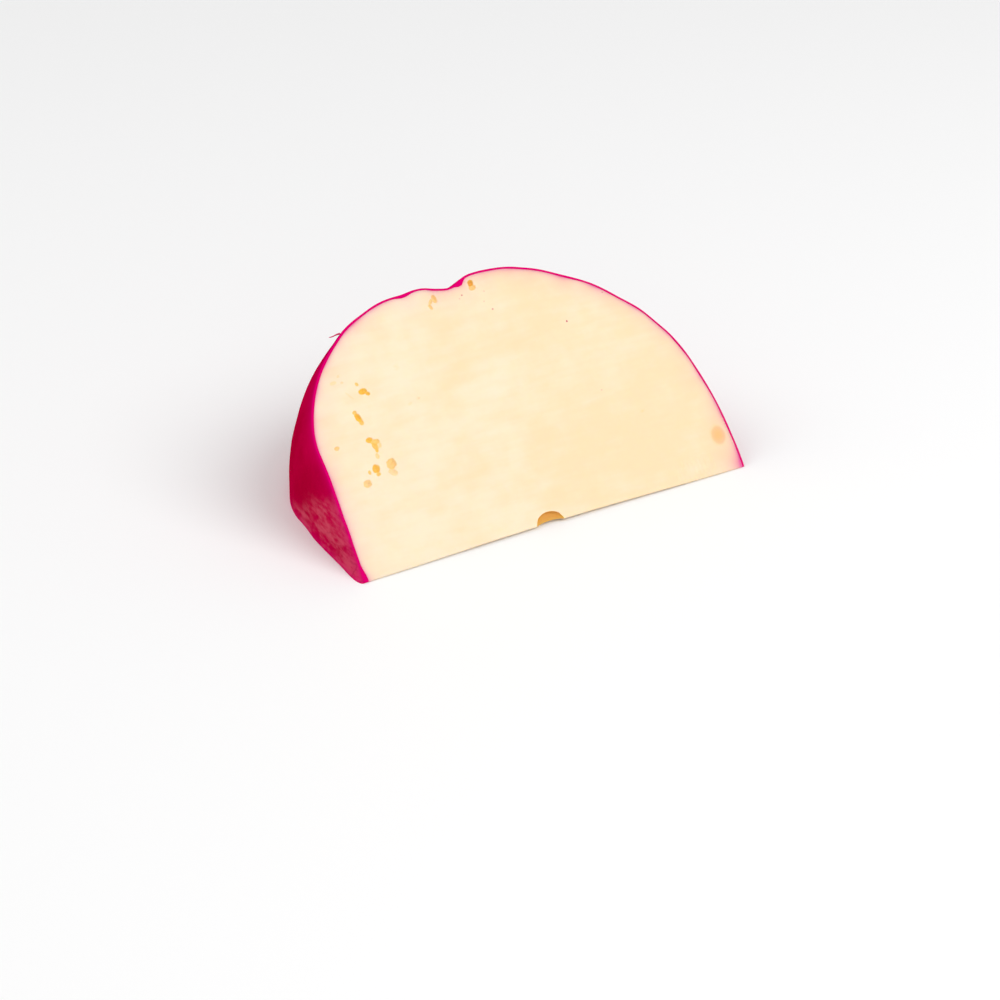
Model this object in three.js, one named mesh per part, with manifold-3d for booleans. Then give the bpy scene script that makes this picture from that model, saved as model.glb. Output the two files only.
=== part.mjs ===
// A wedge cut from a small pressed ball of cheese, with its thin waxy coat still on.
// Millimetres, +Z up. The piece lies on one cut face. The other cut face leans back
// over it from the sharp front edge, which is the ball's own axis: it runs along X,
// from the flat foot of the ball at -X to its round crown at +X.

import * as THREE from 'three';
import { mergeVertices } from 'three/addons/utils/BufferGeometryUtils.js';
import Module from 'manifold-3d';

// The whole ball.
const ballHeight = 125;      // from the foot to the crown, along the axis
const waistRadius = 77;      // half its width at the widest place
const waistHeight = 47.5;    // how far that place is above the foot
const footRadius = 38.5;     // the flat spot that the whole ball stood on
const footDish = 1.2;        // how deep the middle of the foot is dished
const shoulderPower = 2;     // curve from the foot to the waist: 2 is an ellipse
const crownPower = 2.3;      // curve from the waist to the crown: fuller than an ellipse

// The piece, and the coat on its round side.
const wedgeAngle = THREE.MathUtils.degToRad(49);
const coatThickness = 0.8;
const coatGap = 0.3;         // clearance between the coat and the cheese under it

// Two marks pressed into the round side, which run back from the top of the leaning
// face. A place is a share of the ball's height, from the foot.
const dentReach = 30;        // how far round the ball the marks run before they end
const dents = [
  { place: 0.376, halfWidth: 18, depth: 2 },
  { place: 0.424, halfWidth: 8, depth: 1.5 },
];

// A thin curl of coat that the knife lifted beside the leaning face.
const curl = { place: 0.141, length: 3.6, rootWidth: 1.4, depth: 2, bite: 0.5 };

// Eyes that the knife opened. along is a share of the ball's height, from the foot, and
// up is a share of the way from the front edge to the rim. Tilt is in degrees.
const leaningFaceEyes = [
  { along: 0.148, up: 0.745, wide: 2.9, high: 1.9, deep: 1.3, tilt: -20 },
  { along: 0.116, up: 0.679, wide: 1.7, high: 3.4, deep: 1.3, tilt: 30 },
  { along: 0.132, up: 0.54, wide: 2.6, high: 3.8, deep: 1.6, tilt: 35 },
  { along: 0.119, up: 0.44, wide: 2.3, high: 3, deep: 1.5, tilt: 10 },
  { along: 0.158, up: 0.417, wide: 3.6, high: 4.9, deep: 1.7, tilt: 0 },
  { along: 0.09, up: 0.413, wide: 2.2, high: 2.2, deep: 1, tilt: 0 },
  { along: 0.379, up: 0.921, wide: 3.8, high: 4.2, deep: 1.6, tilt: 0 },
  { along: 0.482, up: 0.942, wide: 2.8, high: 3.6, deep: 1.6, tilt: 0 },
];
const restingFaceEyes = [
  { along: 0.22, up: 0.62, wide: 3.4, high: 4.2, deep: 1.5, tilt: 25 },
  { along: 0.31, up: 0.3, wide: 2.6, high: 3.2, deep: 1.3, tilt: -15 },
  { along: 0.68, up: 0.74, wide: 4.2, high: 3, deep: 1.6, tilt: 10 },
  { along: 0.8, up: 0.38, wide: 2.4, high: 2.8, deep: 1.2, tilt: 40 },
];
// One larger eye lies on the front edge itself, and opens into both cut faces.
const edgeEye = { along: 0.479, up: 0, wide: 9.2, high: 9, deep: 4.5, tilt: 0 };

// Facets.
const footSteps = 5;
const shoulderSteps = 18;
const crownSteps = 28;
const turnSteps = 14;
const eyeSides = 12;
const weldDistance = 1e-4;

const wasm = await Module();
wasm.setup();

// The ball's radius at a height above its foot.
function radiusAt(height) {
  if (height < waistHeight) {
    const share = (waistHeight - height) / waistHeight;
    const fullness = (1 - share ** shoulderPower) ** (1 / shoulderPower);
    return footRadius + (waistRadius - footRadius) * fullness;
  }
  const share = (height - waistHeight) / (ballHeight - waistHeight);
  return waistRadius * (1 - share ** crownPower) ** (1 / crownPower);
}

// The points of a quarter superellipse, from its end on X to its end on Y.
function quarterCurve(halfWidth, halfHeight, power, steps) {
  const points = [];
  for (let i = 0; i <= steps; i += 1) {
    const across = Math.cos((i / steps) * (Math.PI / 2));
    const along = Math.sin((i / steps) * (Math.PI / 2));
    const reach = (across ** power + along ** power) ** (-1 / power);
    points.push(new THREE.Vector2(halfWidth * across * reach, halfHeight * along * reach));
  }
  return points;
}

// Half of the ball's section, from the middle of the foot to the top of the crown, a
// given depth under its surface. x is the radius and y the height above the foot.
function ballProfile(inset) {
  const foot = [];
  for (let i = 0; i < footSteps; i += 1) {
    const share = i / footSteps;
    foot.push(new THREE.Vector2(footRadius * share, inset + footDish * (1 - share ** 2)));
  }
  const bulge = waistRadius - footRadius - inset;
  const shoulder = quarterCurve(bulge, waistHeight - inset, shoulderPower, shoulderSteps)
    .map((point) => new THREE.Vector2(footRadius + point.x, waistHeight - point.y))
    .reverse();
  const rise = ballHeight - waistHeight - inset;
  const crown = quarterCurve(waistRadius - inset, rise, crownPower, crownSteps)
    .map((point) => new THREE.Vector2(point.x, waistHeight + point.y))
    .slice(1);
  crown[crown.length - 1].x = 0;
  return [...foot, ...shoulder, ...crown];
}

// How deep the pressed marks are at a height and an angle up from the resting face.
function dentDepth(height, angle) {
  const back = (wedgeAngle - angle) * waistRadius;
  const fade = back < dentReach ? 0.5 + 0.5 * Math.cos(Math.PI * back / dentReach) : 0;
  let depth = 0;
  for (const dent of dents) {
    const offset = (height - dent.place * ballHeight) / dent.halfWidth;
    if (Math.abs(offset) < 1) {
      depth += dent.depth * (0.5 + 0.5 * Math.cos(Math.PI * offset));
    }
  }
  return depth * fade;
}

// Makes a manifold solid of a closed geometry.
function solid(geometry) {
  geometry.deleteAttribute('normal');
  geometry.deleteAttribute('uv');
  const welded = mergeVertices(geometry, weldDistance);
  const corners = welded.index.array;
  const triVerts = [];
  for (let i = 0; i < corners.length; i += 3) {
    const [a, b, c] = corners.slice(i, i + 3);
    if (a !== b && b !== c && c !== a) {
      triVerts.push(a, b, c);
    }
  }
  return new wasm.Manifold(new wasm.Mesh({
    numProp: 3,
    vertProperties: new Float32Array(welded.attributes.position.array),
    triVerts: new Uint32Array(triVerts),
  }));
}

// Where a point of the section ends up at an angle, with the marks pressed in.
function pressed(point, angle) {
  return new THREE.Vector2(Math.max(0, point.x - dentDepth(point.y, angle)), point.y);
}

// Turns a closed outline of the ball's section about the X axis through the wedge
// angle, from the resting face to the leaning face, and closes both cut faces.
function turnedWedge(outline) {
  const loop = [...outline, outline[0]];
  const geometry = new THREE.LatheGeometry(loop, turnSteps, 0, wedgeAngle);
  const position = geometry.attributes.position;
  for (let i = 0; i < position.count; i += 1) {
    const angle = wedgeAngle * Math.floor(i / loop.length) / turnSteps;
    const point = pressed(loop[i % loop.length], angle);
    position.setXYZ(i, point.y, point.x * Math.cos(angle), point.x * Math.sin(angle));
  }
  const triangles = Array.from(geometry.index.array);
  const restingFace = outline.map((point) => pressed(point, 0));
  for (const [a, b, c] of THREE.ShapeUtils.triangulateShape(restingFace, [])) {
    triangles.push(a, b, c);
  }
  const leaningFace = outline.map((point) => pressed(point, wedgeAngle));
  const lastRing = loop.length * turnSteps;
  for (const [a, b, c] of THREE.ShapeUtils.triangulateShape(leaningFace, [])) {
    triangles.push(lastRing + a, lastRing + c, lastRing + b);
  }
  geometry.setIndex(triangles);
  return solid(geometry);
}

// The frame of a cut face that stands at an angle from the resting face: X along the
// front edge, Y up the face, Z away from the face.
function faceFrame(angle) {
  return new THREE.Matrix4().makeRotationX(angle);
}

function eyeSolid(eye, face) {
  const geometry = new THREE.SphereGeometry(1, eyeSides, eyeSides / 2);
  geometry.scale(eye.wide / 2, eye.high / 2, eye.deep);
  geometry.rotateZ(THREE.MathUtils.degToRad(eye.tilt));
  const height = eye.along * ballHeight;
  geometry.translate(height, eye.up * radiusAt(height), 0);
  geometry.applyMatrix4(face);
  return solid(geometry);
}

// The curl is a thin three-cornered flake in the leaning face. Its root bites into the
// coat, and it points past the foot side of the ball.
function curlSolid() {
  const height = curl.place * ballHeight;
  const radius = radiusAt(height);
  const flake = new THREE.Shape([
    new THREE.Vector2(height + curl.rootWidth, radius + curl.bite),
    new THREE.Vector2(height - curl.length, radius + curl.bite),
    new THREE.Vector2(height + curl.bite, radius - curl.bite),
  ]);
  const geometry = new THREE.ExtrudeGeometry(flake, { depth: curl.depth, bevelEnabled: false });
  geometry.translate(0, 0, -curl.depth);
  geometry.applyMatrix4(faceFrame(wedgeAngle));
  return solid(geometry);
}

function cheeseSolid() {
  let body = turnedWedge(ballProfile(coatThickness + coatGap));
  for (const eye of leaningFaceEyes) {
    body = body.subtract(eyeSolid(eye, faceFrame(wedgeAngle)));
  }
  for (const eye of [...restingFaceEyes, edgeEye]) {
    body = body.subtract(eyeSolid(eye, faceFrame(0)));
  }
  return body;
}

function coatSolid() {
  const outside = ballProfile(0);
  const inside = ballProfile(coatThickness).reverse();
  return turnedWedge([...outside, ...inside]).add(curlSolid());
}

function namedMesh(name, body, material) {
  const { vertProperties, triVerts } = body.getMesh();
  const geometry = new THREE.BufferGeometry();
  geometry.setAttribute('position', new THREE.BufferAttribute(vertProperties, 3));
  geometry.setIndex(new THREE.BufferAttribute(triVerts, 1));
  geometry.computeVertexNormals();
  const mesh = new THREE.Mesh(geometry, material);
  mesh.name = name;
  return mesh;
}

const paste = new THREE.MeshStandardMaterial({ color: '#f8e2b6', roughness: 0.55, metalness: 0 });
const wax = new THREE.MeshStandardMaterial({ color: '#b4003f', roughness: 0.4, metalness: 0 });

// The origin is under the middle of the piece, on the face that it rests on.
const group = new THREE.Group();
group.position.set(-ballHeight / 2, -waistRadius / 2, 0);
group.add(namedMesh('cheese', cheeseSolid(), paste));
group.add(namedMesh('coat', coatSolid(), wax));

export default group;
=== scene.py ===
import math

import bmesh
import bpy
from mathutils import Matrix, Vector, kdtree, noise


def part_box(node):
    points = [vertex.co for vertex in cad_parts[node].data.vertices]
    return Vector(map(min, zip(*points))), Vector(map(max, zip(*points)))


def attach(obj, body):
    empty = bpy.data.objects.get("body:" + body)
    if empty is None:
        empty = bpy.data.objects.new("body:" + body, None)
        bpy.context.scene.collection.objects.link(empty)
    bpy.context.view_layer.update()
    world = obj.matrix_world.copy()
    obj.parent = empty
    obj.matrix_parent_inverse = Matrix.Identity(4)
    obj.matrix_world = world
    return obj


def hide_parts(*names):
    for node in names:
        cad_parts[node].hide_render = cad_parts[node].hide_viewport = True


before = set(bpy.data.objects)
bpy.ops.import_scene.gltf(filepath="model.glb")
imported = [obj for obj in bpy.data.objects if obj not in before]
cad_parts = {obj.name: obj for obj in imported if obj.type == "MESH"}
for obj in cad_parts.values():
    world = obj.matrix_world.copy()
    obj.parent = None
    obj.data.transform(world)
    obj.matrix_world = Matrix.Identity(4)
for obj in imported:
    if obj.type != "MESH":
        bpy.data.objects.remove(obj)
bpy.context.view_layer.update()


# ------------------------------------------------------------------ the shot
# A pale table top under soft studio light, seen from the foot end of the piece and
# from a little above it.

mm = 0.001
aim = Vector((-8.6 * mm, -19.3 * mm, 0.0))


def around(azimuth, elevation, distance):
    """A place at a distance from the aim. Azimuth 0 is in front of the piece."""
    turn = math.radians(azimuth)
    rise = math.radians(elevation)
    back = Vector((math.sin(turn) * math.cos(rise), -math.cos(turn) * math.cos(rise), math.sin(rise)))
    return aim + distance * back


def point_at_aim(thing):
    thing.rotation_euler = (thing.location - aim).to_track_quat("Z", "Y").to_euler()


camera = bpy.data.objects.new("camera", bpy.data.cameras.new("camera"))
bpy.context.scene.collection.objects.link(camera)
camera.location = around(-28.57, 33.49, 0.800)
point_at_aim(camera)
camera.data.sensor_width = 36.0
camera.data.lens = 100.2
bpy.context.scene.camera = camera


def softbox(name, place, size, watts):
    lamp = bpy.data.lights.new(name, "AREA")
    lamp.shape = "DISK"
    lamp.size = size
    lamp.energy = watts
    holder = bpy.data.objects.new(name, lamp)
    bpy.context.scene.collection.objects.link(holder)
    holder.location = place
    point_at_aim(holder)


softbox("key", around(35, 50, 1.2), 0.8, 6.5)
softbox("front_fill", around(-20, 25, 1.5), 1.2, 1.5)
softbox("back_fill", around(-120, 45, 1.4), 1.0, 4.0)

world = bpy.data.worlds.new("studio")
bpy.context.scene.world = world
world.use_nodes = True
world.node_tree.nodes["Background"].inputs["Color"].default_value = (1.0, 1.0, 1.0, 1.0)
world.node_tree.nodes["Background"].inputs["Strength"].default_value = 0.58
bpy.context.scene.view_settings.view_transform = "Standard"

table_sheet = bmesh.new()
bmesh.ops.create_grid(table_sheet, x_segments=1, y_segments=1, size=4.0)
table_mesh = bpy.data.meshes.new("floor")
table_sheet.to_mesh(table_mesh)
table_sheet.free()
floor = bpy.data.objects.new("floor", table_mesh)
bpy.context.scene.collection.objects.link(floor)
floor_finish = bpy.data.materials.new("pale_floor")
floor_finish.use_nodes = True
floor_shader = floor_finish.node_tree.nodes["Principled BSDF"]
floor_shader.inputs["Base Color"].default_value = (0.94, 0.94, 0.94, 1.0)
floor_shader.inputs["Roughness"].default_value = 0.7
table_mesh.materials.append(floor_finish)


# ------------------------------------------------------- the skin of the ball
# The ball was pressed in a round mould and stood on a small flat foot while it dried.
# Its outer surface is turned here about the front edge of the piece, which is the
# ball's own axis, and both the coat and the cheese under it take their shape from it.

coat_low, coat_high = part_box("coat")
edge_start = coat_low.copy()
ball_height = coat_high.x - coat_low.x
waist_radius = coat_high.y - coat_low.y
waist_height = 47.5 * mm
foot_radius = 38.5 * mm
foot_dish = 1.2 * mm
shoulder_power = 2.0
crown_power = 2.3
wedge_angle = math.radians(49)

# The leaning cut face: up it from the front edge, and straight off it. The resting cut
# face is straight down.
up_face = Vector((0.0, math.cos(wedge_angle), math.sin(wedge_angle)))
off_face = Vector((0.0, -math.sin(wedge_angle), math.cos(wedge_angle)))
down = Vector((0.0, 0.0, -1.0))
touching = 1e-6

foot_steps = 30
foot_crowding = 1.5      # how much closer together the steps are near the axis
shoulder_steps = 64
crown_steps = 120
turn_steps = 52


def quarter_curve(half_width, half_height, power, steps):
    """The points of a quarter superellipse, from its widest place to its end."""
    points = []
    for i in range(steps + 1):
        across = math.cos(i / steps * math.pi / 2)
        along = math.sin(i / steps * math.pi / 2)
        reach = (across**power + along**power) ** (-1 / power)
        points.append((half_width * across * reach, half_height * along * reach))
    return points


def ball_profile():
    """Half of the ball's section: height above the foot, and radius."""
    foot = []
    for i in range(foot_steps):
        share = (i / foot_steps) ** foot_crowding
        foot.append((foot_dish * (1 - share**2), foot_radius * share))
    bulge = quarter_curve(waist_radius - foot_radius, waist_height, shoulder_power, shoulder_steps)
    shoulder = [(waist_height - y, foot_radius + x) for x, y in reversed(bulge)]
    dome = quarter_curve(waist_radius, ball_height - waist_height, crown_power, crown_steps)
    crown = [(waist_height + y, x) for x, y in dome[1:-1]]
    return foot + shoulder + crown + [(ball_height, 0.0)]


def hump(offset):
    """1 in the middle, falling smoothly to 0 one half-width away."""
    return 0.5 + 0.5 * math.cos(math.pi * offset) if abs(offset) < 1 else 0.0


def clamped(value):
    """A value kept between 0 and 1."""
    return max(0.0, min(1.0, value))


# Marks pressed into the ball beside the leaning face: place as a share of the ball's
# height, half-width and depth.
mark_reach = 30 * mm
pressed_marks = [(0.376, 18 * mm, 2.0 * mm), (0.424, 8 * mm, 1.5 * mm)]
lump_size = 17 * mm
lump_height = 0.22 * mm
ripple_size = 5 * mm
ripple_height = 0.05 * mm
back_roughness = 0.9
back_start = 20 * mm

# The foot sagged where the ball stood: how far it stands out, how soon out from the axis
# it starts, how slowly it fades, how deep into the piece it goes, and a belly over that.
foot_bulge = 2.1 * mm
foot_bulge_start = 1.8 * mm
foot_bulge_fade = 100 * mm
foot_bulge_depth = 25 * mm
foot_belly = 0.28
foot_belly_place = 21 * mm
foot_belly_reach = 19 * mm

# Low swells and hollows: place along the ball, out from its axis, and round from the
# resting face (0) to the leaning face (1), then reach and height.
swells = [
    (19.0 * mm, 70.2 * mm, 1, 8.0 * mm, 0.40 * mm),
    (43.5 * mm, 75.7 * mm, 1, 6.0 * mm, 0.60 * mm),
    (53.8 * mm, 74.2 * mm, 1, 5.0 * mm, -0.75 * mm),
    (74.5 * mm, 75.0 * mm, 1, 15.0 * mm, 0.85 * mm),
    (83.0 * mm, 71.2 * mm, 1, 8.0 * mm, 0.35 * mm),
    (96.5 * mm, 64.5 * mm, 1, 15.0 * mm, 0.33 * mm),
    (108.5 * mm, 53.0 * mm, 1, 8.0 * mm, 0.45 * mm),
    (116.0 * mm, 43.0 * mm, 1, 16.0 * mm, 0.65 * mm),
    (7.0 * mm, 49.0 * mm, 0, 14.0 * mm, -0.60 * mm),
]


def mark_depth(along, back):
    depth = 0.0
    for place, half_width, deep in pressed_marks:
        depth += deep * hump((along - place * ball_height) / half_width)
    return depth * hump(back / mark_reach)


def bulge_of_foot(radius, angle, along):
    """How far the lower part of the foot stands out over the surface it lies on."""
    outwards = (1 - math.exp(-radius / foot_bulge_start)) * (1 - radius / foot_bulge_fade)
    outwards += foot_belly * hump((radius - foot_belly_place) / foot_belly_reach)
    downwards = clamped(1 - angle / wedge_angle) ** 1.5
    return foot_bulge * max(0.0, outwards) * downwards * max(0.0, 1 - along / foot_bulge_depth)


def kept_inside(move, point):
    """A move that keeps a point on the cut faces it lies on, and carries it through none.

    A point of the front edge itself goes along that edge.
    """
    if point.yz.length < touching:
        return Vector((math.copysign(move.length, move.x), 0.0, 0.0))
    for outwards in (off_face, down):
        room = -point.dot(outwards)
        out = move.dot(outwards)
        if room < touching or out > room / 2:
            move = move - outwards * (out if room < touching else out - room / 2)
    return move


# The coat is thicker in a few places where it ran together: place along the ball and
# up the leaning face, reach and extra depth.
coat_thickness = 0.62 * mm
coat_unevenness = 0.2
coat_patch = 6 * mm
coat_pools = [
    (56.6 * mm, 74.4 * mm, 2.6 * mm, 1.1 * mm),
    (39.0 * mm, 75.0 * mm, 4.0 * mm, 0.4 * mm),
    (0.5 * mm, 1.0 * mm, 5.0 * mm, 0.8 * mm),
]


def coat_depth(point):
    depth = coat_thickness * (1 + coat_unevenness * noise.noise(point / coat_patch))
    for along, up, reach, extra in coat_pools:
        centre = Vector((along, 0.0, 0.0)) + up_face * up
        depth += extra * hump((point - centre).length / reach)
    return depth


def back_from_face(point):
    """How far round the ball a point lies behind the leaning face."""
    return (wedge_angle - math.atan2(point.z, point.y)) * point.yz.length


skin = bmesh.new()
profile_verts = [skin.verts.new((along, radius, 0.0)) for along, radius in ball_profile()]
profile_edges = [skin.edges.new(pair) for pair in zip(profile_verts, profile_verts[1:])]
bmesh.ops.spin(
    skin,
    geom=profile_verts + profile_edges,
    cent=(0.0, 0.0, 0.0),
    axis=(1.0, 0.0, 0.0),
    angle=wedge_angle,
    steps=turn_steps,
    use_merge=False,
)
bmesh.ops.remove_doubles(skin, verts=skin.verts, dist=touching)
skin.normal_update()
ball_middle = Vector((ball_height / 2, 0.0, 0.0))
if sum(face.normal.dot(face.calc_center_median() - ball_middle) for face in skin.faces) < 0:
    bmesh.ops.reverse_faces(skin, faces=skin.faces)
    skin.normal_update()
skin_moves = []
for vert in skin.verts:
    point = vert.co.copy()
    angle = math.atan2(point.z, point.y)
    to_axis = Vector((0.0, -math.cos(angle), -math.sin(angle)))
    move = to_axis * mark_depth(point.x, back_from_face(point))
    lumps = lump_height * noise.noise(point / lump_size)
    lumps += ripple_height * noise.noise(point / ripple_size)
    lumps *= 1 + back_roughness * clamped(back_from_face(point) / back_start)
    for along, out, round_share, reach, height in swells:
        round_to = round_share * wedge_angle
        centre = Vector((along, out * math.cos(round_to), out * math.sin(round_to)))
        lumps += height * hump((point - centre).length / reach)
    move += vert.normal * lumps
    move.x -= bulge_of_foot(point.yz.length, angle, point.x)
    skin_moves.append(kept_inside(move, point))
for vert, move in zip(skin.verts, skin_moves):
    vert.co += move
skin.normal_update()
inward = skin.verts.layers.float_vector.new("inward")
for vert in skin.verts:
    vert[inward] = kept_inside(-vert.normal * coat_depth(vert.co), vert.co)

front_round = 0.3 * mm


def round_front_edge(verts):
    """Rolls what lies along the front edge of the piece onto a small round."""
    half = wedge_angle / 2
    width = front_round / math.tan(half)
    reach = front_round / math.sin(half)
    for vert in verts:
        away = vert.co.yz.length
        if away >= width:
            continue
        share = (1 - away / width) * (math.pi / 2 - half)
        low = 1.5 * math.pi - share
        high = wedge_angle + math.pi / 2 + share
        over = math.atan2(vert.co.z, vert.co.y) / wedge_angle if away > touching else 0.5
        across = (1 - over) * math.cos(low) + over * math.cos(high)
        above = (1 - over) * math.sin(low) + over * math.sin(high)
        vert.co.y = reach * math.cos(half) + front_round * across
        vert.co.z = reach * math.sin(half) + front_round * above


def finished_piece(name, bm, crease):
    """Puts a piece in its place in the frame and makes an object of it."""
    bmesh.ops.translate(bm, vec=edge_start, verts=bm.verts)
    bmesh.ops.recalc_face_normals(bm, faces=bm.faces)
    mesh = bpy.data.meshes.new(name)
    bm.to_mesh(mesh)
    bm.free()
    mesh.shade_smooth()
    mesh.set_sharp_from_angle(angle=math.radians(crease))
    piece = bpy.data.objects.new(name, mesh)
    bpy.context.scene.collection.objects.link(piece)
    return piece


# --------------------------------------------------------------------- coat
# A thin waxy skin, brushed or dipped on in a strong pink-red. It covers only the round
# side: the knife cut through it with the cheese, so its cut edge shows round each cut face,
# painted a brighter pink-red as a painted glow of light through the thin wax. The knife
# lifted a short curl of it near the foot.

wall_cuts = 3
rim_round = 0.12 * mm
rim_squareness = 8
rim_fade = 10 * mm

coat_mesh = skin.copy()
outerness = coat_mesh.verts.layers.float.new("outerness")
inward = coat_mesh.verts.layers.float_vector["inward"]
for vert in coat_mesh.verts:
    vert[outerness] = 1.0
grown = bmesh.ops.extrude_face_region(coat_mesh, geom=coat_mesh.faces[:], use_keep_orig=True)
inner_verts = {item for item in grown["geom"] if isinstance(item, bmesh.types.BMVert)}
for vert in inner_verts:
    vert.co += vert[inward]
    vert[outerness] = 0.0
wall_edges = []
for edge in coat_mesh.edges:
    if len({vert in inner_verts for vert in edge.verts}) == 2:
        wall_edges.append(edge)
bmesh.ops.subdivide_edges(coat_mesh, edges=wall_edges, cuts=wall_cuts, use_grid_fill=True)
for vert in coat_mesh.verts:
    eased = rim_round * vert[outerness] ** rim_squareness * min(1.0, vert.co.yz.length / rim_fade)
    if abs(vert.co.dot(off_face)) < touching:
        vert.co -= off_face * eased
    elif abs(vert.co.z) < touching:
        vert.co.z += eased

# Three things vary over the coat. The first is painted light: the cut edge and a band beside
# it are painted a brighter pink-red, a painted glow of light coming through the thin wax near
# the rims, which fades sooner away from the table than away from the leaning face.
near_glow = 1.3 * mm
far_glow = 4.0 * mm
near_glow_share = 0.65
table_fading = 2

# The foot is scuffed below a slanting line, from standing and sliding on a shelf.
foot_end = 9 * mm
foot_blend = 6 * mm
scuff_top = 31.3 * mm
scuff_lean = 0.66
scuff_blend = 4.0 * mm
scuff_raggedness = 0.8
scuff_patch = 5 * mm

# And the round back is polished, away from the foot and from the leaning face.
polish_start = 14 * mm
polish_blend = 25 * mm
polish_from_face = 5 * mm
polish_face_blend = 15 * mm

painted_edge_glow = coat_mesh.verts.layers.float.new("painted_edge_glow")
scuffed = coat_mesh.verts.layers.float.new("scuffed")
polished = coat_mesh.verts.layers.float.new("polished")
for vert in coat_mesh.verts:
    point = vert.co
    from_face = back_from_face(point)
    from_rest = math.atan2(point.z, point.y) * point.yz.length
    from_cut = max(0.0, min(from_face, from_rest * table_fading))
    glow = near_glow_share * math.exp(-from_cut / near_glow)
    vert[painted_edge_glow] = glow + (1 - near_glow_share) * math.exp(-from_cut / far_glow)
    ragged = scuff_raggedness * noise.noise(point / scuff_patch)
    below = (scuff_top - point.z - scuff_lean * point.y) / scuff_blend + ragged
    vert[scuffed] = clamped((foot_end - point.x) / foot_blend) * clamped(below)
    past_foot = clamped((point.x - polish_start) / polish_blend)
    vert[polished] = past_foot * clamped((from_face - polish_from_face) / polish_face_blend)
round_front_edge(coat_mesh.verts)
coat_mesh.verts.layers.float_vector.remove(inward)
coat_mesh.verts.layers.float.remove(outerness)

# The curl is a flat strip that narrows and bends as it leaves the coat. Each step gives
# how far it goes on, how far it climbs, and how much of its width is left. Its root is
# given along the ball and up the leaning face.
curl_root = (17.4 * mm, 69.1 * mm)
curl_half_width = 0.9 * mm
curl_half_thickness = 0.21 * mm
curl_painted_glow = 0.75
curl_steps = [
    (0.5 * mm, 0.02 * mm, 0.95),
    (0.7 * mm, -0.10 * mm, 0.90),
    (0.7 * mm, -0.16 * mm, 0.85),
    (0.7 * mm, -0.05 * mm, 0.80),
    (0.5 * mm, 0.04 * mm, 0.65),
    (0.2 * mm, 0.02 * mm, 0.40),
]
curl = bmesh.new()
section = bmesh.ops.create_circle(curl, cap_ends=True, segments=12, radius=1.0)["verts"]
bmesh.ops.scale(curl, vec=(curl_half_width, curl_half_thickness, 1.0), verts=section)
curl_end = curl.faces[:]
curl_end[0].normal_update()
middle = Vector((0.0, 0.0, 0.0))
for onward, climb, kept in curl_steps:
    last_end = curl_end
    grown = bmesh.ops.extrude_face_region(curl, geom=last_end, use_keep_orig=True)
    tip_verts = [item for item in grown["geom"] if isinstance(item, bmesh.types.BMVert)]
    curl_end = [item for item in grown["geom"] if isinstance(item, bmesh.types.BMFace)]
    step = Vector((0.0, climb, onward))
    bmesh.ops.translate(curl, vec=step, verts=tip_verts)
    if middle.z > 0:
        bmesh.ops.delete(curl, geom=last_end, context="FACES_ONLY")
    middle += step
    bmesh.ops.scale(curl, vec=(kept, kept, 1.0), space=Matrix.Translation(-middle), verts=tip_verts)
lay = Matrix((off_face, up_face, Vector((-1.0, 0.0, 0.0)))).transposed().to_4x4()
root_place = Vector((curl_root[0], 0.0, 0.0)) + up_face * curl_root[1]
lay.translation = root_place - off_face * curl_half_width
bmesh.ops.transform(curl, matrix=lay, verts=curl.verts)
curl_glow_layer = curl.verts.layers.float.new("painted_edge_glow")
curl.verts.layers.float.new("scuffed")
curl.verts.layers.float.new("polished")
# The curl gets most of the same painted glow, as light through the thin flake.
for vert in curl.verts:
    vert[curl_glow_layer] = curl_painted_glow
curl_mesh = bpy.data.meshes.new("curl")
bmesh.ops.recalc_face_normals(curl, faces=curl.faces)
curl.to_mesh(curl_mesh)
curl.free()
coat_mesh.from_mesh(curl_mesh)
bpy.data.meshes.remove(curl_mesh)
coat = finished_piece("coat_skin", coat_mesh, 50)


class Shade:
    """A number that varies over a surface. Arithmetic on it adds Math nodes."""

    def __init__(self, finish, socket):
        self.finish = finish
        self.socket = socket

    def math(self, operation, *terms):
        return self.finish.node("ShaderNodeMath", {"operation": operation}, dict(enumerate(terms)))

    def __add__(self, other):
        return self.math("ADD", self, other)

    def __sub__(self, other):
        return self.math("SUBTRACT", self, other)

    def __rsub__(self, other):
        return self.math("SUBTRACT", other, self)

    def __mul__(self, other):
        return self.math("MULTIPLY", self, other)

    def __abs__(self):
        return self.math("ABSOLUTE", self)

    __radd__ = __add__


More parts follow.
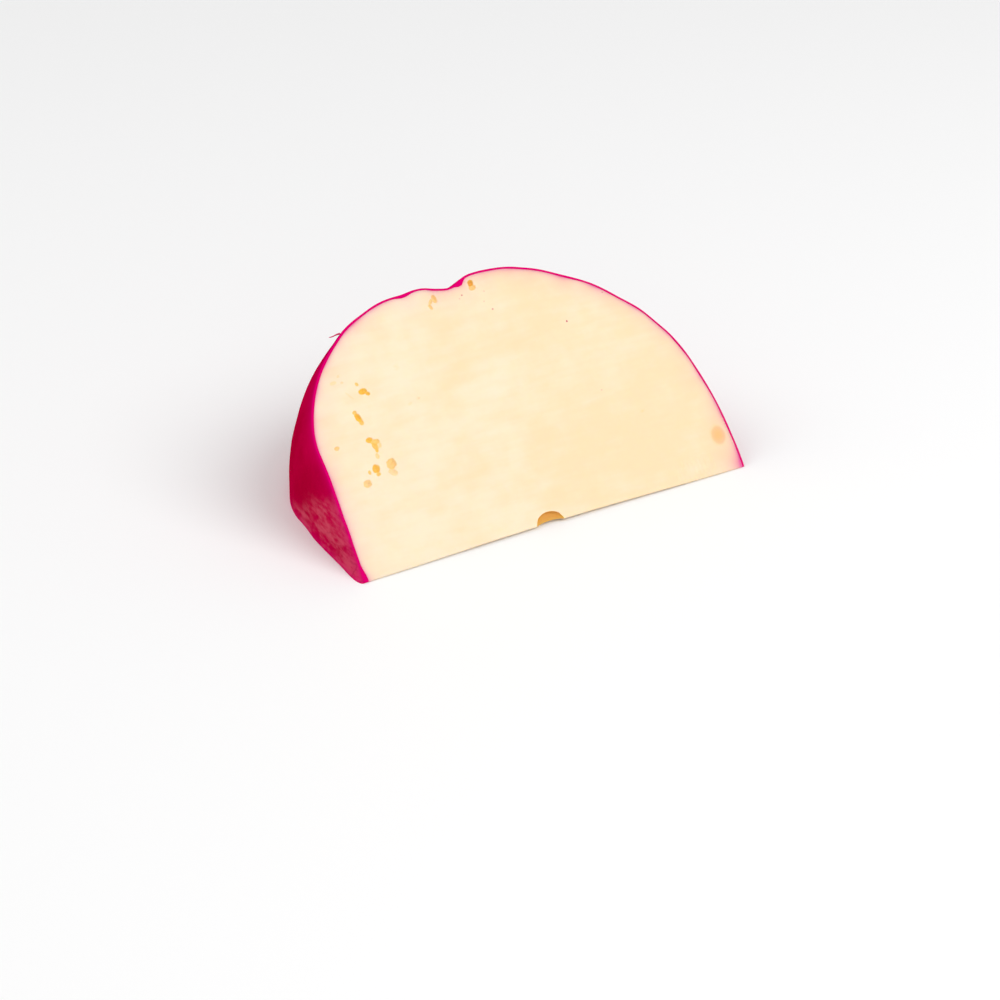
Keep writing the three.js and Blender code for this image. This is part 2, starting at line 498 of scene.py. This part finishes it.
class Finish:
    """A material in the making: its nodes, and the shader that they feed."""

    def __init__(self, name):
        self.material = bpy.data.materials.new(name)
        self.material.use_nodes = True
        self.tree = self.material.node_tree
        self.shader = self.tree.nodes["Principled BSDF"]

    def set(self, node, sockets):
        for key, value in sockets.items():
            if isinstance(value, Shade):
                self.tree.links.new(value.socket, node.inputs[key])
            else:
                node.inputs[key].default_value = value

    def node(self, kind, settings=None, sockets=None, output=0):
        """Adds a node: its settings first, then the values or links of its sockets."""
        node = self.tree.nodes.new(kind)
        for key, value in (settings or {}).items():
            setattr(node, key, value)
        self.set(node, sockets or {})
        return Shade(self, node.outputs[output])

    def attribute(self, name):
        return self.node("ShaderNodeAttribute", {"attribute_name": name}, output="Fac")

    def grain(self, place, size, detail=3.0, roughness=0.5):
        """Noise between 0 and 1, with blotches of about the size given."""
        sockets = {"Vector": place, "Scale": 1 / size, "Detail": detail, "Roughness": roughness}
        return self.node("ShaderNodeTexNoise", None, sockets)

    def between(self, value, start, end):
        """0 below start, 1 above end, smooth in between."""
        settings = {"interpolation_type": "SMOOTHSTEP"}
        sockets = {"Value": value, "From Min": start, "From Max": end}
        return self.node("ShaderNodeMapRange", settings, sockets)

    def blend(self, share, first, second):
        """A colour between the first, at a share of 0, and the second, at 1."""
        settings = {"data_type": "RGBA"}
        return self.node("ShaderNodeMix", settings, {0: share, 6: first, 7: second}, output=2)

    def stretched(self, place, scale, rotation=(0.0, 0.0, 0.0)):
        """Places for a grain that is drawn out where the scale is less than 1."""
        sockets = {"Vector": place, "Rotation": rotation, "Scale": scale}
        return self.node("ShaderNodeMapping", None, sockets)

    def bump(self, height, strength, distance):
        sockets = {"Strength": strength, "Distance": distance, "Height": height}
        return self.node("ShaderNodeBump", None, sockets, "Normal")


def paint(red, green, blue):
    """A screen colour of 0 to 255 as a shader's colour."""
    linear = []
    for level in (red, green, blue):
        share = level / 255
        linear.append(share / 12.92 if share <= 0.04045 else ((share + 0.055) / 1.055) ** 2.4)
    return (*linear, 1.0)


deep_wax = paint(174, 0, 48)
bright_wax = paint(194, 0, 64)
chalky_scuff = paint(208, 76, 98)
# Painted glow: the brighter pink-red given to the coat's thin cut edge to stand for light through it.
painted_glow_wax = paint(220, 0, 108)
dark_scratch = paint(140, 0, 44)

wax = Finish("waxy_coat")
wax_place = wax.node("ShaderNodeTexCoord", output="Object")
wax_painted_glow = wax.attribute("painted_edge_glow")
wax_scuff = wax.attribute("scuffed")
wax_polish = wax.attribute("polished")
blotches = wax.grain(wax_place, 14 * mm)
round_the_ball = wax.stretched(wax_place, (1.0, 0.12, 0.12))
brushed = wax.grain(round_the_ball, 1.8 * mm, 4.0, 0.6)
tone = wax.between(blotches * 0.65 + brushed * 0.35, 0.32, 0.68)
body_colour = wax.blend(tone, deep_wax, bright_wax)
sideways = wax.stretched(wax_place, (1.0, 0.26, 1.0), (0.35, 0.0, 0.0))
streaks = wax.grain(sideways, 1.3 * mm, 4.0, 0.65)
patches = wax.grain(wax_place, 6 * mm, 3.0, 0.6)
scuff_share = wax_scuff * wax.between(patches * 0.65 + streaks * 0.6, 0.5, 0.74)
scuffed_colour = wax.blend(scuff_share * 0.9, body_colour, chalky_scuff)
# The cut edge and the band beside it take the painted glow colour here.
glow_painted_colour = wax.blend(wax_painted_glow, scuffed_colour, painted_glow_wax)
scratches = wax.grain(wax_place, 8 * mm, 1.0)
on_scratch = 1 - wax.between(abs(scratches - 0.5), 0.0, 0.02)
scratch = wax_scuff * on_scratch * wax.between(patches, 0.45, 0.6)
scratched_colour = wax.blend(scratch * 0.3, glow_painted_colour, dark_scratch)
pores = wax.grain(wax_place, 0.9 * mm, 4.0, 0.6)
relief = pores * 0.25 + brushed * wax_polish * 0.5 + streaks * wax_scuff * 0.9 + blotches * 1.2
wax.set(
    wax.shader,
    {
        "Base Color": scratched_colour,
        "Roughness": 0.4 + pores * 0.12 + scuff_share * 0.2,
        "Normal": wax.bump(relief, 0.35, 0.25 * mm),
        "Specular IOR Level": 0.0,
        "Coat Weight": wax_polish * (0.35 + brushed * 0.2),
        "Coat Roughness": 0.22,
        "Coat IOR": 1.4,
    },
)
coat.data.materials.append(wax.material)
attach(coat, "root")
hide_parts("coat")


# -------------------------------------------------------------------- paste
# The pressed cheese itself, dense and pale, with a few small eyes. It stands a hair's
# breadth off the coat. A long knife cut both flat faces, and left them slightly wavy,
# with drag lines, and with some of the coat's colour smeared along their rims.

paste_mesh = skin.copy()
inward = paste_mesh.verts.layers.float_vector["inward"]
under_coat = 0.02 * mm
for vert in paste_mesh.verts:
    vert.co += vert[inward] * (1 + under_coat / vert[inward].length)
paste_mesh.verts.layers.float_vector.remove(inward)
skin.free()
near_enough = 5 * touching


def on_leaning(point):
    return abs(point.dot(off_face)) < near_enough


def on_resting(point):
    return abs(point.z) < near_enough


def rim_finder(belongs):
    """A tree of the points where a cut face meets the coat, to find the nearest one in."""
    rim = [vert.co.copy() for vert in paste_mesh.verts if belongs(vert.co)]
    tree = kdtree.KDTree(len(rim))
    for i, point in enumerate(rim):
        tree.insert(point, i)
    tree.balance()
    return tree


leaning_rim = rim_finder(on_leaning)
resting_rim = rim_finder(on_resting)

front_edge_cuts = 150
on_axis = [vert for vert in paste_mesh.verts if vert.co.yz.length < touching]
foot_pole = min(on_axis, key=lambda vert: vert.co.x)
crown_pole = max(on_axis, key=lambda vert: vert.co.x)
front_edge = paste_mesh.edges.new((foot_pole, crown_pole))
bmesh.ops.subdivide_edges(paste_mesh, edges=[front_edge], cuts=front_edge_cuts)


def cut_face(belongs, centre, shares):
    """Closes one cut side with a face, and works rings of small faces into it."""
    outline = []
    for edge in paste_mesh.edges:
        if len(edge.link_faces) < 2 and all(belongs(vert.co) for vert in edge.verts):
            outline.append(edge)
    made = bmesh.ops.contextual_create(paste_mesh, geom=outline)["faces"]
    last = 1.0
    for share in shares:
        made = bmesh.ops.extrude_discrete_faces(paste_mesh, faces=made)["faces"]
        step = Vector((share / last,) * 3)
        bmesh.ops.scale(paste_mesh, vec=step, space=Matrix.Translation(-centre), verts=made[0].verts)
        last = share
    bmesh.ops.poke(paste_mesh, faces=made)


def ring_shares(count):
    """The size of each ring as a share of the cut face: a few close in, then even steps."""
    close_to_rim = [0.9975, 0.992, 0.984, 0.974]
    return close_to_rim + [close_to_rim[-1] * (1 - i / count) for i in range(1, count)]


back_along = Vector((0.0, 1.0, 0.0))
leaning_rings = 62
resting_rings = 30
ring_centre_along = 56 * mm
ring_centre_up = 34 * mm
axis_centre = Vector((ring_centre_along, 0.0, 0.0))
cut_face(on_leaning, axis_centre + up_face * ring_centre_up, ring_shares(leaning_rings))
cut_face(on_resting, axis_centre + back_along * ring_centre_up, ring_shares(resting_rings))

# Eyes in the leaning face: each lobe has its place along and up the face, half its
# length and width, its turn in degrees, its depth, and how ochre it is inside. All
# lengths are in millimetres.
leaning_eyes = [
    (18.4, 51.6, 1.25, 0.9, 0, 0.8, 1.0),
    (19.6, 50.7, 0.8, 0.55, -35, 0.5, 0.95),
    (17.3, 54.0, 0.65, 0.45, -60, 0.25, 0.7),
    (14.1, 46.5, 0.7, 0.6, 0, 0.4, 0.8),
    (14.6, 44.9, 1.5, 0.85, -70, 0.8, 1.0),
    (15.1, 43.4, 0.9, 0.65, -70, 0.5, 0.8),
    (15.7, 38.0, 1.05, 0.8, 0, 0.7, 0.95),
    (17.2, 37.1, 1.4, 0.8, -5, 0.5, 0.75),
    (16.8, 36.1, 1.5, 0.85, -75, 0.7, 0.85),
    (18.1, 36.0, 0.9, 0.6, 90, 0.3, 0.4),
    (16.9, 34.7, 0.6, 0.5, 90, 0.4, 0.9),
    (16.5, 33.1, 0.85, 0.6, 90, 0.25, 0.45),
    (15.0, 29.8, 1.3, 1.15, 90, 0.9, 0.95),
    (15.2, 28.2, 0.75, 0.6, 0, 0.4, 0.8),
    (12.8, 29.3, 0.65, 0.45, 90, 0.3, 0.75),
    (19.8, 29.9, 1.65, 1.5, 60, 0.9, 0.6),
    (19.4, 27.7, 1.7, 0.9, -40, 0.5, 0.35),
    (11.2, 26.5, 1.25, 1.15, 0, 0.7, 0.5),
    (5.8, 38.2, 0.8, 0.6, 0, 0.3, 0.55),
    (10.7, 56.0, 1.0, 0.55, 10, 0.1, 0.3),
    (13.2, 55.5, 0.5, 0.4, 0, 0.1, 0.25),
    (12.7, 57.5, 0.45, 0.4, 0, 0.1, 0.25),
    (14.2, 51.4, 1.5, 0.3, -52, 0.05, 0.2),
    (33.7, 45.6, 0.7, 0.5, 0, 0.05, 0.15),
    (30.8, 44.8, 0.7, 0.45, 30, 0.05, 0.15),
    (47.8, 71.6, 1.3, 0.75, -80, 0.6, 0.55),
    (46.4, 71.0, 1.1, 0.5, 50, 0.4, 0.5),
    (45.9, 69.6, 0.95, 0.5, -65, 0.4, 0.5),
    (60.0, 73.3, 1.0, 0.9, 90, 0.8, 1.15),
    (60.1, 72.0, 1.1, 0.85, 0, 0.6, 0.6),
]

# And eyes in the resting face, from the front edge back.
resting_eyes = [
    (27.5, 47.0, 2.1, 1.7, 65, 1.2, 0.8),
    (38.8, 23.0, 1.6, 1.3, 75, 1.0, 0.8),
    (85.0, 53.0, 2.1, 1.5, 10, 1.3, 0.7),
    (100.0, 21.0, 1.4, 1.2, 50, 1.0, 0.8),
]

# Where the cheese stands up again inside an eye: place, half-length and half-width.
tongues = [(21.0, 28.5, 0.85, 0.7), (18.2, 28.6, 0.5, 0.5)]
tongue_firmness = 1.6

# How an eye's lip wobbles, how its colour starts outside the lip and deepens inwards,
# and how round its bowl is.
eye_wobble = 0.3
eye_wobble_size = 0.8 * mm
lip_outside = 0.25
lip_blend = 0.65
bowl_power = 0.7

# Faint stains in the colour of the eyes, and crumbs and tints of the coat's colour that
# the knife dragged across: place, half-length, half-width, and strength.
stains = [(120.0, 11.5, 2.8, 3.6, 0.6), (30.3, 55.7, 0.7, 1.2, 0.2), (99.0, 24.3, 0.5, 0.4, 0.4)]
crumbs = [
    (56.3, 70.6, 0.32, 0.26, 0.65),
    (64.1, 64.5, 0.34, 0.28, 0.55),
    (85.2, 55.5, 0.30, 0.34, 0.9),
    (99.0, 60.9, 0.28, 0.24, 0.5),
    (55.3, 69.8, 0.26, 0.22, 0.3),
    (62.3, 67.3, 0.26, 0.22, 0.3),
    (63.3, 70.1, 0.24, 0.22, 0.3),
    (33.8, 45.6, 0.3, 0.25, 0.15),
    (88.8, 33.6, 0.3, 0.25, 0.25),
    (120.2, 11.4, 2.4, 3.0, 0.18),
    (60.0, 73.3, 0.9, 0.8, 0.18),
]
crumb_firmness = 2.5


def lobe_share(along, up, lobe):
    """1 in the middle of an eye's lobe, 0 at its lip, and less than 0 outside."""
    place_along, place_up, half_length, half_width, degrees = lobe[:5]
    turn = math.radians(degrees)
    offset_along = along / mm - place_along
    offset_up = up / mm - place_up
    lengthways = offset_along * math.cos(turn) + offset_up * math.sin(turn)
    crossways = offset_up * math.cos(turn) - offset_along * math.sin(turn)
    wobble = eye_wobble * noise.noise(Vector((along, up, 0.0)) / eye_wobble_size)
    return 1 + wobble - (lengthways / half_length) ** 2 - (crossways / half_width) ** 2


def spot_share(along, up, spot):
    """1 in the middle of a spot, and 0 from its rim outwards."""
    place_along, place_up, half_length, half_width = spot[:4]
    lengthways = (along / mm - place_along) / half_length
    crossways = (up / mm - place_up) / half_width
    return max(0.0, 1 - lengthways**2 - crossways**2)


finest = 0.16 * mm
refined_share = 1.2
refined_margin = 0.45


def refine(belongs, up_axis, spots, passes):
    """Splits the faces of a cut side where something small is going to be."""
    for _ in range(passes):
        edges = set()
        for face in paste_mesh.faces:
            centre = face.calc_center_median()
            if not belongs(centre):
                continue
            along = centre.x / mm
            up = centre.dot(up_axis) / mm
            for place_along, place_up, half_length, half_width, *_ in spots:
                reach = max(half_length, half_width) * refined_share + refined_margin
                if abs(along - place_along) < reach and abs(up - place_up) < reach:
                    edges.update(edge for edge in face.edges if edge.calc_length() > finest)
                    break
        bmesh.ops.subdivide_edges(paste_mesh, edges=list(edges), cuts=1, use_grid_fill=True)
        many_sided = [face for face in paste_mesh.faces if len(face.verts) > 4]
        bmesh.ops.triangulate(paste_mesh, faces=many_sided)


# One larger eye lies on the front edge itself, and opens into both cut faces. At the table
# it reaches back only a little, and from its sill upwards it has its full depth.
edge_eye_along = 60.3 * mm
edge_eye_half_length = 5.0 * mm
edge_eye_radius = 4.5 * mm
edge_eye_sill = 2.5 * mm
edge_eye_least = 0.1
# How far into the painted shade the colour inside the large eye goes.
edge_eye_painted_shade = 1.7
edge_eye_fade = 12 * mm
edge_eye_spot = (edge_eye_along / mm, 2.2, edge_eye_half_length / mm, 3.0)
refine(on_leaning, up_face, leaning_eyes + crumbs + [edge_eye_spot], 3)
refine(on_resting, back_along, resting_eyes, 2)

# The colour of the eyes goes from cheese at 0 to ochre at 1, and on to a painted shade of
# # brown at 2, which only the large eye on the front edge reaches: its shade is painted.
eye = paste_mesh.verts.layers.float.new("eye")
bleed = paste_mesh.verts.layers.float.new("bleed")
crumb = paste_mesh.verts.layers.float.new("crumb")
leaning_verts = [vert for vert in paste_mesh.verts if on_leaning(vert.co)]
resting_verts = [vert for vert in paste_mesh.verts if on_resting(vert.co) and not on_leaning(vert.co)]


def open_eyes(vert, up_axis, lobes):
    """Marks the eyes' colour at a place on a cut face, and gives their depth there."""
    along = vert.co.x
    up = vert.co.dot(up_axis)
    depth = 0.0
    for lobe in lobes:
        place_along, place_up, half_length = lobe[:3]
        lobe_depth, ochre = lobe[5:]
        if max(abs(along / mm - place_along), abs(up / mm - place_up)) > 2 * half_length:
            continue
        share = lobe_share(along, up, lobe)
        inside = clamped((share + lip_outside) / lip_blend)
        vert[eye] = max(vert[eye], ochre * hump(1 - inside))
        if share > 0:
            depth = max(depth, lobe_depth * mm * share**bowl_power)
    closed = max(spot_share(along, up, tongue) for tongue in tongues)
    still_open = 1 - min(1.0, tongue_firmness * closed)
    vert[eye] *= still_open
    return depth * still_open


# The coat's colour has run a short way into the cheese, patchily, and most at the corner
# where the front edge ends in the crown.
bleed_evenness = 0.75
bleed_patchiness = 0.5
bleed_patch = 5 * mm
near_bleed = 0.55
near_bleed_reach = 0.5 * mm
far_bleed = 0.36
far_bleed_reach = 2.4 * mm
crown_corner = Vector((124.5 * mm, 0.0, 0.0)) + up_face * 1.5 * mm
corner_bleed = 0.75
corner_bleed_reach = 2.6 * mm


def bleed_near_rim(point, away):
    """How much of the coat's colour is in the cheese at a distance from its rim."""
    patchy = bleed_evenness + bleed_patchiness * noise.noise(point / bleed_patch)
    near = near_bleed * math.exp(-away / near_bleed_reach)
    return patchy * (near + far_bleed * math.exp(-away / far_bleed_reach))


# The knife left long low waves on the leaning face, along its slanting path.
knife_slant = 0.24
wave_height = 0.12 * mm
wave_length = 70 * mm
wave_width = 11 * mm
wave_fade = 4 * mm
leaning_moves = []
for vert in leaning_verts:
    point = vert.co.copy()
    along = point.x
    up = point.dot(up_face)
    away = leaning_rim.find(point)[2]
    in_corner = corner_bleed * math.exp(-(point - crown_corner).length / corner_bleed_reach)
    vert[bleed] = bleed_near_rim(point, away) + in_corner
    for spot in crumbs:
        covered = min(1.0, crumb_firmness * spot_share(along, up, spot))
        vert[crumb] = max(vert[crumb], spot[4] * covered)
    depth = open_eyes(vert, up_face, leaning_eyes)
    for spot in stains:
        vert[eye] = max(vert[eye], spot[4] * spot_share(along, up, spot))
    on_path = Vector((along / wave_length, (up - knife_slant * along) / wave_width, 0.0))
    wave = wave_height * noise.noise(on_path) * min(1.0, away / wave_fade)
    leaning_moves.append(off_face * (wave - depth))

# The resting face is a little hollow, so the piece stands on its rims.
hollow = 0.25 * mm
hollow_evenness = 0.6
hollow_patchiness = 0.4
hollow_patch = 12 * mm
hollow_fade = 8 * mm
resting_moves = []
for vert in resting_verts:
    point = vert.co.copy()
    away = resting_rim.find(point)[2]
    vert[bleed] = bleed_near_rim(point, away)
    depth = open_eyes(vert, back_along, resting_eyes)
    patchy = hollow_evenness + hollow_patchiness * noise.noise(point / hollow_patch)
    arched = hollow * min(1.0, away / hollow_fade) * patchy
    resting_moves.append(Vector((0.0, 0.0, arched + depth)))
for vert, move in zip(leaning_verts + resting_verts, leaning_moves + resting_moves):
    vert.co += move
round_front_edge(paste_mesh.verts)

# The front edge bows up a little between its ends, and the large eye is scooped out of it.
bow = 0.85 * mm
bow_fade = 25 * mm
for vert in leaning_verts + resting_verts:
    away = vert.co.yz.length
    if away < bow_fade:
        span = max(0.0, 1 - ((vert.co.x - ball_height / 2) / (ball_height / 2)) ** 2)
        vert.co += up_face * bow * span**2 * (1 - away / bow_fade) ** 2


def edge_eye_reach(along, height):
    """How far back from the front edge the large eye goes at a height over the table."""
    length_share = (along - edge_eye_along) / edge_eye_half_length
    height_share = height / edge_eye_radius
    round_share = math.sqrt(max(0.0, 1 - length_share**2 - height_share**2))
    climbed = min(1.0, max(0.0, height) / edge_eye_sill)
    return (edge_eye_least + (1 - edge_eye_least) * climbed) * edge_eye_radius * round_share


# Inside the large eye the cheese is given painted shade, a darker brown, as well as its hollow.
for vert in leaning_verts:
    reach = edge_eye_reach(vert.co.x, vert.co.z)
    if reach > vert.co.y:
        vert.co.y = reach
        vert[eye] = edge_eye_painted_shade
for vert in resting_verts:
    if vert.co.y < edge_eye_fade:
        vert.co.y += edge_eye_reach(vert.co.x, vert.co.z) * (1 - vert.co.y / edge_eye_fade)
paste = finished_piece("cheese_paste", paste_mesh, 40)

pale_paste = paint(252, 229, 199)
warm_paste = paint(252, 219, 177)
bled_pink = paint(238, 100, 156)
eye_ochre = paint(252, 200, 80)
painted_eye_shade = paint(208, 134, 48)
# A darker brown painted into the large eye as painted shade.
crumb_red = paint(200, 60, 90)

cheese = Finish("cheese_paste")
piece_place = cheese.node("ShaderNodeTexCoord", output="Object")
from_edge = {"Vector": piece_place, "Location": edge_start, "Rotation": (wedge_angle, 0.0, 0.0)}
face_place = cheese.node("ShaderNodeMapping", {"vector_type": "TEXTURE"}, from_edge)
cloudy = cheese.grain(piece_place, 24 * mm, 2.0)
mottled = cheese.grain(piece_place, 7 * mm, 3.0, 0.55)
knife_path = cheese.stretched(face_place, (0.18, 1.0, 1.0), (0.0, 0.0, knife_slant))
knife_drag = cheese.grain(knife_path, 2.6 * mm)
along_face = cheese.node("ShaderNodeSeparateXYZ", None, {"Vector": face_place}, "X")
height_up = Shade(cheese, along_face.socket.node.outputs["Y"])
heart = cheese.between(along_face, 25 * mm, 80 * mm) * 0.13
deeper = cheese.between(cloudy * 0.45 + mottled * 0.3 + knife_drag * 0.25 + heart, 0.38, 0.72)
pale_cheese = cheese.blend(deeper, pale_paste, warm_paste)
bled = cheese.blend(cheese.attribute("bleed"), pale_cheese, bled_pink)
eye_mark = cheese.attribute("eye")
with_eyes = cheese.blend(eye_mark, bled, eye_ochre)
# Eye marks above 1 add the painted shade of the large eye on the front edge.
with_painted_eye_shade = cheese.blend(eye_mark - 1, with_eyes, painted_eye_shade)
with_crumbs = cheese.blend(cheese.attribute("crumb"), with_painted_eye_shade, crumb_red)

# The knife chattered over a short stretch of the leaning face, low down near the crown.
past_heart = cheese.between(along_face, 101 * mm, 106 * mm)
near_crown = past_heart * (1 - cheese.between(along_face, 114 * mm, 119 * mm))
off_edge = cheese.between(height_up, 0.5 * mm, 2 * mm)
near_edge = off_edge * (1 - cheese.between(height_up, 5 * mm, 9 * mm))
ridges = {"Vector": face_place, "Scale": 224.0}
chatter = cheese.node("ShaderNodeTexWave", None, ridges, "Fac") * near_crown * near_edge
curd = cheese.grain(piece_place, 1.1 * mm, 4.0, 0.6)
cheese_relief = curd * 0.3 + knife_drag * 0.8 + mottled * 0.6 + chatter * 1.1
cheese.set(
    cheese.shader,
    {
        "Base Color": with_crumbs,
        "Roughness": 0.46 + curd * 0.16,
        "Normal": cheese.bump(cheese_relief, 0.3, 0.3 * mm),
        "Specular IOR Level": 0.4,
        "Subsurface Weight": 0.35,
        "Subsurface Radius": (1.0, 0.6, 0.3),
        "Subsurface Scale": 3 * mm,
    },
)
paste.data.materials.append(cheese.material)
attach(paste, "root")
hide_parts("cheese")
